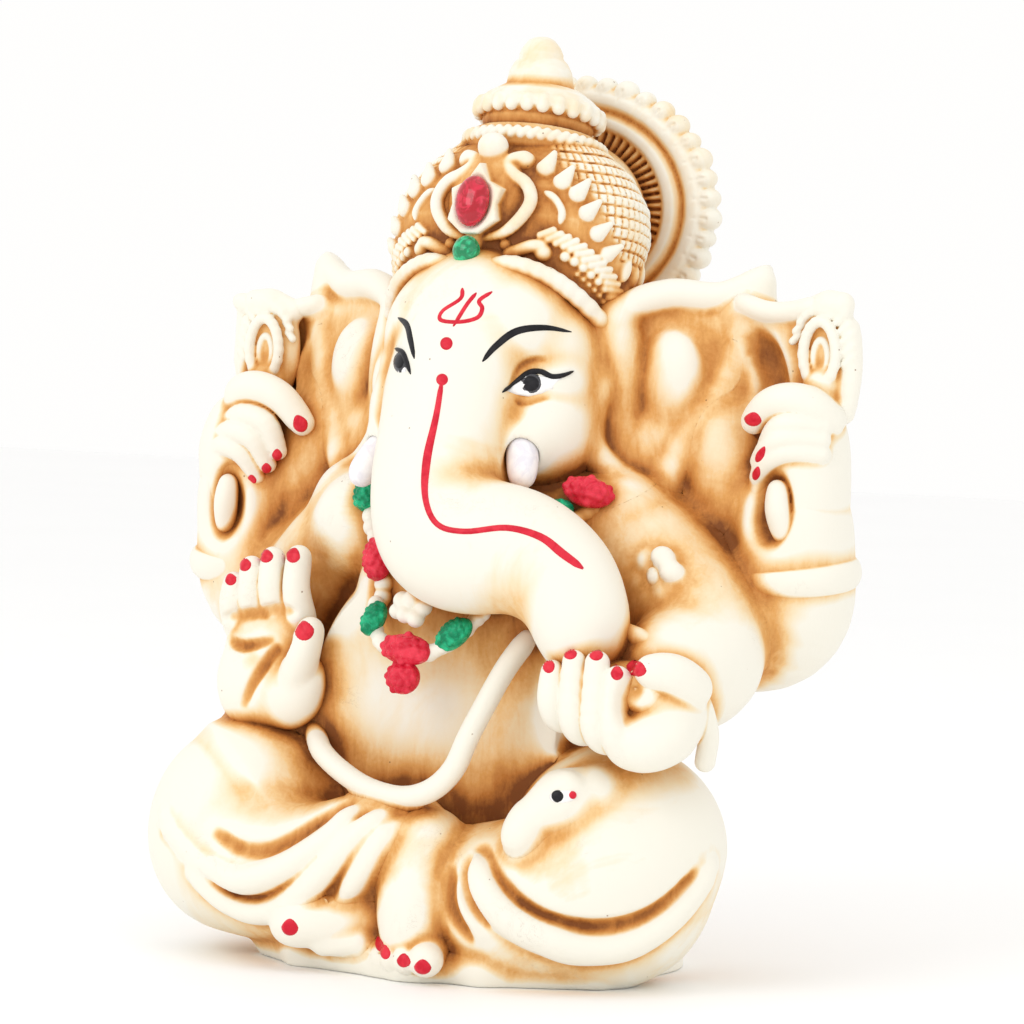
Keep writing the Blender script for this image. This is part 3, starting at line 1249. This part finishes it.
def plaster_finish(name="antiqued_plaster", gain=1.0, base=0.0):
    """Cream plaster, with a brown wash that was brushed on and wiped off the high places."""
    s = Shader(name)
    wash = s.attribute("wash")
    streaks = s.noise(260, 5, 0.62, (1, 1, 0.28), 0.6)
    cloud = s.noise(38, 4, 0.6, warp=0.8)
    speck = s.noise(900, 3, 0.7)
    patch = s.span(s.noise(15, 5, 0.62, warp=1.5), 0.42, 0.72, -0.03, 0.17)
    rough_edge = s.plus(s.plus(s.swing(cloud, 0.55), s.swing(streaks, 0.42)), s.swing(speck, 0.16))
    amount = s.plus(s.plus(s.times(wash, gain), base), patch)
    strength = s.span(amount, 0.02, 0.5, 0.12, 1.0)
    amount = s.plus(amount, s.times(rough_edge, strength))
    colour = s.ramp(
        amount, (0.0, CREAM), (0.16, PALE_TAN), (0.34, IVORY_TAN), (0.54, TAN), (0.78, ORANGE_BROWN),
        (1.0, DARK_BROWN),
    )

    pits = s.node("ShaderNodeTexVoronoi", feature="F1")
    s.join(s.place, pits.inputs["Vector"])
    pits.inputs["Scale"].default_value = 190
    pit = s.span(pits.outputs["Distance"], 0.035, 0.075, 1.0, 0.0)
    chosen = s.span(s.noise(120, 1), 0.56, 0.60)
    pit = s.times(pit, chosen)
    scratch = s.noise(75, 6, 0.7, (1, 0.35, 1), 2.5)
    scratch = s.span(s.math("ABSOLUTE", s.minus(scratch, 0.5)), 0.0, 0.004, 1.0, 0.0)
    scratch = s.times(scratch, s.span(s.noise(22, 2), 0.60, 0.68))
    marks = s.math("MAXIMUM", pit, s.times(scratch, 0.55))
    colour = s.mix(s.times(marks, 0.75), colour, (0.24, 0.10, 0.035))

    height = s.plus(s.times(streaks, 0.5), s.times(speck, 0.35))
    height = s.minus(height, s.times(marks, 1.6))
    roughness = s.plus(s.times(cloud, 0.16), s.times(amount, 0.18))
    return s.finish(colour, s.plus(roughness, 0.38, clamp=True), height, 0.35, 0.00025)


def gloss_finish(name, dark, light, roughness=0.22, bump=0.25, grime=0.0):
    """A coat of enamel, uneven in tone where the brush left it thin."""
    s = Shader(name)
    patchy = s.noise(210, 4, 0.6, warp=0.6)
    fine = s.noise(800, 3, 0.6)
    colour = s.mix(s.span(patchy, 0.36, 0.64), dark, light)
    if grime:
        colour = s.mix(s.times(s.attribute("wash"), grime, clamp=True), colour, tuple(c * 0.25 for c in dark))
    rough = s.plus(s.times(fine, 0.2), roughness - 0.08)
    return s.finish(colour, rough, s.plus(patchy, s.times(fine, 0.4)), bump, 0.0002)


def stone_finish(name, dark, light):
    """A lacquered glass stone, lighter where light comes through its edge."""
    s = Shader(name)
    inner = s.noise(330, 2, 0.5, warp=1.2)
    colour = s.mix(s.span(inner, 0.4, 0.66), dark, light)
    s.principled.inputs["Coat Weight"].default_value = 0.8
    s.principled.inputs["Coat Roughness"].default_value = 0.05
    return s.finish(colour, s.plus(s.times(inner, 0.12), 0.12), inner, 0.15, 0.0003)


# ---------------------------------------------------------------- paint laid on the skin


LOOK = (-0.5, 0.8660254, -0.05)  # 30 degrees from straight back, falling a little
SEEN_ROUNDS, SEEN_STRIDE, SEEN_MISS = 150, 2, 0.6


def seen(clay, marks, lead=90.0, reach=190.0):
    """Marks in mm (across, up) on an upright sheet that faces the front left, slid along LOOK to the skin."""
    marks = np.asarray(marks, np.float32)
    way = np.array(LOOK, np.float32)
    start = np.stack([marks[:, 0] * LOOK[1], -marks[:, 0] * LOOK[0], marks[:, 1]], 1) - way * lead
    t = np.zeros(len(marks), np.float32)
    for _ in range(SEEN_ROUNDS):
        d = clay.at(start + way * t[:, None])
        t = np.minimum(t + np.clip(d, -SEEN_STRIDE, SEEN_STRIDE) * 0.8, reach)
    missed = (np.abs(clay.at(start + way * t[:, None])) > SEEN_MISS) | (t > 0.95 * reach)
    t[missed] = np.median(t[~missed]) if not missed.all() else lead
    return start + way * t[:, None]


class Paint:
    """Dabs and strokes of thick paint that follow a clay's skin, gathered in one mesh."""

    def __init__(self):
        self.points, self.faces = [], []

    def closed(self, rings):
        """A closed tube from rings of equal length, its ends drawn together."""
        first, count = len(self.points), len(rings[0])
        for r in rings:
            self.points.extend(map(tuple, r))
        for j in range(len(rings) - 1):
            a, b = first + j * count, first + (j + 1) * count
            for i in range(count):
                k = (i + 1) % count
                self.faces.append((a + i, a + k, b + k, b + i))
        self.faces.append(tuple(range(first + count - 1, first - 1, -1)))
        last = first + (len(rings) - 1) * count
        self.faces.append(tuple(range(last, last + count)))

    def stroke(self, clay, path, width, thick=0.32, per=6, ends=0.35):
        """A brush line. path holds (across, up) or (across, up, width share)."""
        path = [p if len(p) == 3 else (*p, 1.0) for p in path]
        line = np.array(curve(path, per))
        points, out = clay.settle(seen(clay, line[:, :2]), 2)
        heading = np.gradient(points, axis=0)
        heading /= np.linalg.norm(heading, axis=1, keepdims=True) + 1e-9
        side = np.cross(out, heading)
        share = np.linspace(0, 1, len(line))
        run = np.minimum(share, 1 - share) * len(line)
        rings = []
        for k, (p, n, s) in enumerate(zip(points, out, side)):
            w = 0.5 * width * line[k, 2] * min(1.0, ends + 0.4 * run[k])
            h = thick * min(1.0, 0.3 + 0.35 * run[k])
            spin = [math.tau * j / 14 for j in range(14)]
            rings.append([p + s * w * math.cos(a) + n * (h * math.sin(a)) for a in spin])
        self.closed(rings)

    def dab(self, clay, outline, thick=0.3, rounds=6):
        """A patch on the skin from an outline of (across, up)."""
        outline = np.array(outline, float)
        centre = outline.mean(axis=0)
        rings = []
        for t in np.linspace(0.05, 1.0, rounds):
            skin, out = clay.settle(seen(clay, centre + (outline - centre) * t), 2)
            rings.append(skin + out * thick * (1 - t**4) ** 0.5)
        for t in (0.97, 0.5, 0.05):
            skin, out = clay.settle(seen(clay, centre + (outline - centre) * t), 2)
            rings.append(skin - out * 0.5)
        self.closed(rings)

    def spot(self, clay, centre, wide, tall, tilt=0.0, thick=0.35, point=0.0):
        """An oval dab, turned by tilt degrees, its top drawn to a point."""
        outline, c, s = [], math.cos(math.radians(tilt)), math.sin(math.radians(tilt))
        for k in range(20):
            a = math.tau * k / 20
            u = wide / 2 * math.cos(a) * (1 - point * max(0.0, math.sin(a)))
            v = tall / 2 * math.sin(a)
            outline.append((centre[0] + u * c - v * s, centre[1] + u * s + v * c))
        self.dab(clay, outline, thick)

    def object(self, name, material):
        return linked(name, self.points, self.faces, material)


# ---------------------------------------------------------------- the figure


HOLLOW_REACHES = (2.6, 6.5, 14.0)


def shade_map(clays):
    """How hollow the whole figure is round each point, near and wide, on one coarse lattice."""
    whole = Clay((-128, -56, -4), (128, 98, 304), MAP_STEP)
    grid = np.stack(np.meshgrid(*[np.arange(n) for n in whole.d.shape], indexing="ij"), -1)
    for clay in clays:
        low, high = whole_box(clay)
        cut, _ = whole.window(low, high)
        places = (grid[cut].reshape(-1, 3) + whole.first) * MAP_STEP
        inside = ((places >= low) & (places <= high)).all(1)
        values = np.where(inside, clay.at(places), FAR).reshape(whole.d[cut].shape)
        whole.d[cut] = np.minimum(whole.d[cut], values)
    maps = []
    for reach in HOLLOW_REACHES:
        n = max(1, int(round(reach / MAP_STEP)))
        bound = 1.6 * reach
        field = blurred(blurred(np.clip(whole.d, -bound, bound), n), n) / bound
        maps.append(held(field, whole.first, MAP_STEP))
    return maps


# Where the wash was wiped off (-) or left on (+): x, y, z, reach in mm, change.
WIPED = (
    (4, -14, 205, 30, -0.16),
    (6, -18, 165, 34, -0.14),
    (-4, -40, 50, 30, 0.12),
    (20, -22, 72, 18, 0.10),
    (-12, -6, 120, 24, 0.10),
    (16, 76, 250, 26, -0.25),
    (46, 80, 250, 28, 0.22),
    (22, 80, 284, 26, 0.22),
    (72, -8, 50, 42, -0.20),
    (-72, -20, 56, 36, -0.14),
    (-7, -28, 92, 28, -0.36),
    (30, 4, 197, 14, -0.12),
    (28, -24, 78, 22, -0.1),
    (78, 36, 140, 30, 0.08),
    (-66, -8, 104, 22, 0.10),
    (76, -30, 92, 26, 0.06),
    (112, 36, 168, 30, 0.06),
    (-100, 30, 168, 30, 0.06),
    (96, 20, 104, 28, 0.05),
    (60, 34, 190, 26, 0.06),
)


# The wash on flat clay, and what a hollow of each width adds: the clay's own relief, then HOLLOW_REACHES.
WASH_FLAT, WASH_OWN, WASH_NEAR, WASH_MIDDLE, WASH_WIDE = 0.44, 1.2, 1.9, 1.8, 0.9
WASH_KNEE, WASH_EASE, WASH_LIMITS = 0.45, 0.38, (-0.2, 0.98)


def wash_on(points, maps, fine):
    """How much brown wash is left at points, from 0 on high places to about 1 in deep creases."""
    near, middle, wide = (-m.at(points) for m in maps)
    own = -fine.at(points) if fine is not None else near
    amount = WASH_FLAT + WASH_OWN * own + WASH_NEAR * near + WASH_MIDDLE * middle + WASH_WIDE * wide
    for x, y, z, reach, change in WIPED:
        away = np.linalg.norm(points - np.array((x, y, z), np.float32), axis=1) / reach
        amount += change * np.clip(1.4 - away, 0, 1)
    deep = np.maximum(amount - WASH_KNEE, 0)
    return np.clip(amount - WASH_EASE * deep, *WASH_LIMITS)


def fine_map(clay):
    """Relief at the scale of the lattice itself."""
    bound = 3.0 * clay.step
    return held(blurred(np.clip(clay.d, -bound, bound), 2) / bound, clay.first, clay.step)


def add_piece(name, points, quads, material, slot, nodes, maps=None, fine=None):
    """A casting, with the wash it holds noted on its points."""
    obj = linked(name, points, quads, material)
    values = wash_on(points, maps, fine) if maps else np.zeros(len(points))
    layer = obj.data.attributes.new("wash", "FLOAT", "POINT")
    layer.data.foreach_set("value", values.astype(np.float32))
    obj.data.set_sharp_from_angle(angle=SHARP_ANGLE)
    return declare(obj, nodes)


def build():
    plaster = plaster_finish()
    casts = {"body": model_body(), "crown": model_crown(), "halo": model_halo(), "hands": model_hands()}
    garlands = model_garlands()
    maps = shade_map([c.whole for c in casts.values()] + [g[3] for g in garlands])
    rubbed, ornate = plaster_finish("rubbed_plaster", 0.80, 0.18), (casts["crown"], casts["halo"])
    renamed = {"head": ("head_and_trunk", ["head", "trunk"])}
    for cast in casts.values():
        fine = fine_map(cast.whole)
        for node in cast.clays:
            name, nodes = renamed.get(node, (node + "_casting", [node]))
            finish = rubbed if cast in ornate else plaster
            add_piece(name, *cast.piece(node), finish, "plaster", nodes, maps, fine)
    reds = gloss_finish("red_enamel", (0.60, 0.012, 0.035), (0.80, 0.045, 0.08), 0.24, grime=0.7)
    greens = gloss_finish("green_enamel", (0.0, 0.20, 0.085), (0.02, 0.50, 0.24), 0.24, grime=0.8)
    finishes = {"red_paint": reds, "green_stone": greens, "plaster": plaster}
    for name, slot, node, clay in garlands:
        add_piece(name, *clay.skin(), finishes[slot], slot, [node], maps, fine_map(clay))
    paint_figure(casts)


# Brush marks and nails, drawn on the sheet that seen() describes.
# Strokes are (across, up, width share), outlines (across, up), irises (across, up, width, height).
TRIDENT = (
    [
        (2.5, 218), (2, 214.5), (-3.5, 210.5), (-4, 207.5), (2, 207), (7.5, 208.5), (9, 211.5), (8, 214),
        (12, 217),
    ],
    [(7, 216.5), (4, 212.5), (0, 205.5)],
)
TRUNK_LINE = [
    (-3, 188.5, 0.7), (-4.5, 177, 0.9), (-7, 163, 1.2), (-7, 151, 0.9), (-3, 143, 0.8),
    (5.5, 141, 0.8), (18.5, 142.5, 0.9), (29, 140, 1.1), (36, 135, 1.25), (42.5, 130.5, 1.0),
]
BROWS = (
    [(9.5, 194.5, 0.5), (13.5, 199.5, 0.9), (20, 204.5, 1), (29, 206, 0.8), (37.5, 205, 0.4)],
    [(-18, 208.5, 0.4), (-15, 206, 1), (-13.5, 201, 1), (-12, 195, 0.5)],
)
LIDS = (
    [
        (16, 185, 0.5), (19, 187.5, 0.7), (24, 191.5, 1), (28, 192, 1), (31.5, 190.5, 1), (35, 191, 0.8),
        (38.5, 192.5, 0.4),
    ],
    [(-18.5, 198.5, 0.5), (-16, 197, 1), (-14.5, 194, 1), (-13, 190, 0.4)],
)
WHITES = (
    [
        (17.5, 185.5), (20.5, 184.5), (24.5, 184), (28.5, 185), (32, 186.5), (35, 190), (31, 190.5),
        (24.5, 191.5), (21, 189.5),
    ],
    [(-18, 193.5), (-18, 196.5), (-16, 196.5), (-14.5, 193.5), (-14.5, 190.5), (-17, 190.5)],
)
IRISES = ((25, 188, 8, 7.2), (-16.5, 194, 4.8, 7))
# Nails are (across, up, width, height, tilt in degrees).
HAND_NAILS = (
    (-70.5, 123, 4, 4, 20), (-66, 128, 4.5, 4.5, 12), (-59, 131, 5, 4.5, 5), (-50, 131.5, 5, 5, -20),
    (-45.5, 107.5, 6.5, 6.5, 10),
    (32.5, 100.5, 4, 5, 10), (39, 104.5, 4.5, 4, 0), (47, 104.5, 4.5, 4, 0), (53.5, 99, 4, 4.5, 0),
    (59.5, 100.5, 6, 5, -10),
    (-50.5, 174.5, 5, 6, 25), (-58, 164, 3.5, 4, 0), (-61.5, 159.5, 3.5, 3.5, 0), (-66.5, 155.5, 3.5, 3.5, 0),
    (95, 178.5, 5.5, 4.5, -10), (97.5, 167.5, 2.5, 5.5, -25), (96.5, 161.5, 2.5, 4.5, -10),
)
FOOT_NAILS = (
    (-18, 10.5, 3, 4.5, 12), (-16, 8.5, 3.5, 4.5, 8), (-10, 6.5, 4.5, 4.5, 0), (-4, 5, 5.5, 5, 0),
    (-46.5, 14.5, 5.5, 5.5, 0),
)


def paint_figure(casts):
    """Tusks, stones, nails, eyes and brush lines."""
    body, hands = casts["body"].whole, casts["hands"].whole
    ivory = gloss_finish("tusk_white", (0.80, 0.78, 0.84), (0.93, 0.91, 0.93), 0.3)
    for name, side in SIDES.items():
        x, y, z = TUSK_ROOTS[0 if side > 0 else 1]
        clay = Clay((x - 18, y - 26, z - 28), (x + 18, y + 14, z + 12), FINE_STEP)
        tusk = cord(
            (x - side, y + 1, z + 1, 3.6), (x + side * 2.5, y - 4, z - 5, 4.9),
            (x + side * 5, y - 8, z - 10.5, 4.4), (x + side * 5.6, y - 9, z - 12.5, 3.6),
        )
        clay.add(tusk, 1)
        add_piece(name + "_tusk_casting", *clay.skin(), ivory, "tusk_paint", [name + "_tusk"])
    stones = (
        ("red_stone", (0, 9.6, 246), (5.9, 4, 8.4), (0.42, 0.0, 0.012), (0.68, 0.015, 0.05), -14),
        ("green_stone", (0, 6.6, 230), (4.6, 4, 5.0), (0.0, 0.22, 0.08), (0.02, 0.55, 0.24), -12),
    )
    for node, middle, radii, dark, light, lean in stones:
        clay = Clay(np.array(middle) - 12, np.array(middle) + 12, STONE_STEP)
        clay.add(ball(middle, radii, (lean, 0, 0)), 0)
        finish = stone_finish(node + "_glass", dark, light)
        add_piece(node + "_cabochon", *clay.skin(), finish, node, [node])

    red = gloss_finish("line_red", (0.60, 0.01, 0.03), (0.74, 0.03, 0.055), 0.3)
    black = gloss_finish("line_black", (0.006, 0.006, 0.008), (0.016, 0.015, 0.018), 0.3)
    grey = gloss_finish("iris_grey", (0.05, 0.05, 0.055), (0.10, 0.10, 0.11), 0.25)
    white = gloss_finish("eye_white", (0.86, 0.85, 0.84), (0.95, 0.94, 0.93), 0.25)

    def coat(name, material, lay):
        paint = Paint()
        lay(paint)
        declare(paint.object(name, material))

    def lines(paths, width, thick=0.3):
        return lambda paint: [paint.stroke(body, path, width, thick) for path in paths]

    coat("trident_mark", red, lines(TRIDENT, 1.4))
    coat("trunk_line", red, lines([TRUNK_LINE], 2.3, 0.4))
    coat("upper_dot", red, lambda p: p.spot(body, (-2, 200), 4.0, 4.2, thick=0.4))
    coat("lower_dot", red, lambda p: p.spot(body, (-3, 188.5), 3.8, 3.8, thick=0.45))
    coat("brow_lines", black, lines(BROWS, 2.3))
    coat("eye_whites", white, lambda p: [p.dab(body, outline, 0.45) for outline in WHITES])
    coat(
        "irises", grey,
        lambda p: [p.spot(body, (u, v), w, h, thick=0.62) for u, v, w, h in IRISES],
    )
    coat(
        "pupils", black,
        lambda p: [p.spot(body, (u, v), w * 0.8, h * 0.8, thick=0.8) for u, v, w, h in IRISES],
    )
    coat("lid_lines", black, lines(LIDS, 1.9, 0.8))

    def nails(clay, places):
        return lambda paint: [paint.spot(clay, (u, v), w, h, tilt, 0.35, 0.3) for u, v, w, h, tilt in places]

    coat("finger_nails", red, nails(hands, HAND_NAILS))
    coat("toe_nails", red, nails(body, FOOT_NAILS))
    coat("mouse_eye", white, lambda p: p.spot(body, (38, 60), 8.5, 4.0, 6, 0.5))
    coat("mouse_pupil", black, lambda p: p.spot(body, (36.5, 60), 4.2, 3.9, thick=0.8))
    coat("mouse_eye_corner", red, lambda p: p.spot(body, (41, 60.5), 2.6, 2.6, thick=0.75))


# The photo's view, found by eye: azimuth, elevation and roll in degrees, aim in mm, distance in metres.
VIEW_TURNS, VIEW_AIM, VIEW_DISTANCE = (30, 3, 1.5), (5.872, 30.0, 146.076), 1.8
VIEW_LENS, SENSOR_WIDTH = 195.9, 36
LAMP_AIM_HEIGHT = 0.15


def stage():
    """A plain white studio: floor, soft lights and the camera."""
    mesh = bpy.data.meshes.new("studio_floor")
    mesh.from_pydata([(-3, -3, 0), (3, -3, 0), (3, 3, 0), (-3, 3, 0)], [], [(0, 1, 2, 3)])
    floor = bpy.data.objects.new("studio_floor", mesh)
    bpy.context.scene.collection.objects.link(floor)
    s = Shader("studio_white")
    tone = s.mix(s.noise(6, 2), (0.965, 0.965, 0.965), (0.985, 0.985, 0.985))
    mesh.materials.append(s.finish(tone, 0.6))

    world = bpy.data.worlds.new("studio")
    bpy.context.scene.world = world
    world.use_nodes = True
    background = world.node_tree.nodes["Background"]
    background.inputs[0].default_value = (1.0, 0.995, 0.985, 1.0)
    background.inputs[1].default_value = 1.0

    low, high = (Vector(c) for c in START)
    middle = (low + high) / 2
    middle.z = LAMP_AIM_HEIGHT
    for name, place, size, power in (
        ("key_light", (-0.35, -1.35, 0.95), 0.9, 5.0),
        ("side_light", (1.3, -0.7, 0.7), 0.8, 1.2),
        ("top_light", (0.1, -0.1, 1.5), 0.8, 1.0),
    ):
        data = bpy.data.lights.new(name, "AREA")
        data.energy, data.size = power, size
        lamp = bpy.data.objects.new(name, data)
        lamp.location = place
        lamp.rotation_euler = (middle - Vector(place)).to_track_quat("-Z", "Y").to_euler()
        bpy.context.scene.collection.objects.link(lamp)

    azimuth, elevation, roll = (math.radians(a) for a in VIEW_TURNS)
    ahead, rise = math.cos(elevation), math.sin(elevation)
    back = Vector((math.sin(azimuth) * ahead, -math.cos(azimuth) * ahead, rise))
    level = Vector((math.cos(azimuth), math.sin(azimuth), 0))
    over = back.cross(level)
    right = level * math.cos(roll) + over * math.sin(roll)
    up = over * math.cos(roll) - level * math.sin(roll)
    aim = ORIGIN + Vector(VIEW_AIM) * MM
    data = bpy.data.cameras.new("camera")
    data.lens, data.sensor_width, data.clip_end = VIEW_LENS, SENSOR_WIDTH, 20
    camera = bpy.data.objects.new("camera", data)
    spot = aim + back * VIEW_DISTANCE
    camera.matrix_world = Matrix((
        (right.x, up.x, back.x, spot.x), (right.y, up.y, back.y, spot.y),
        (right.z, up.z, back.z, spot.z), (0, 0, 0, 1),
    ))
    bpy.context.scene.collection.objects.link(camera)
    bpy.context.scene.camera = camera
    bpy.context.scene.view_settings.view_transform = "Standard"


build()
stage()
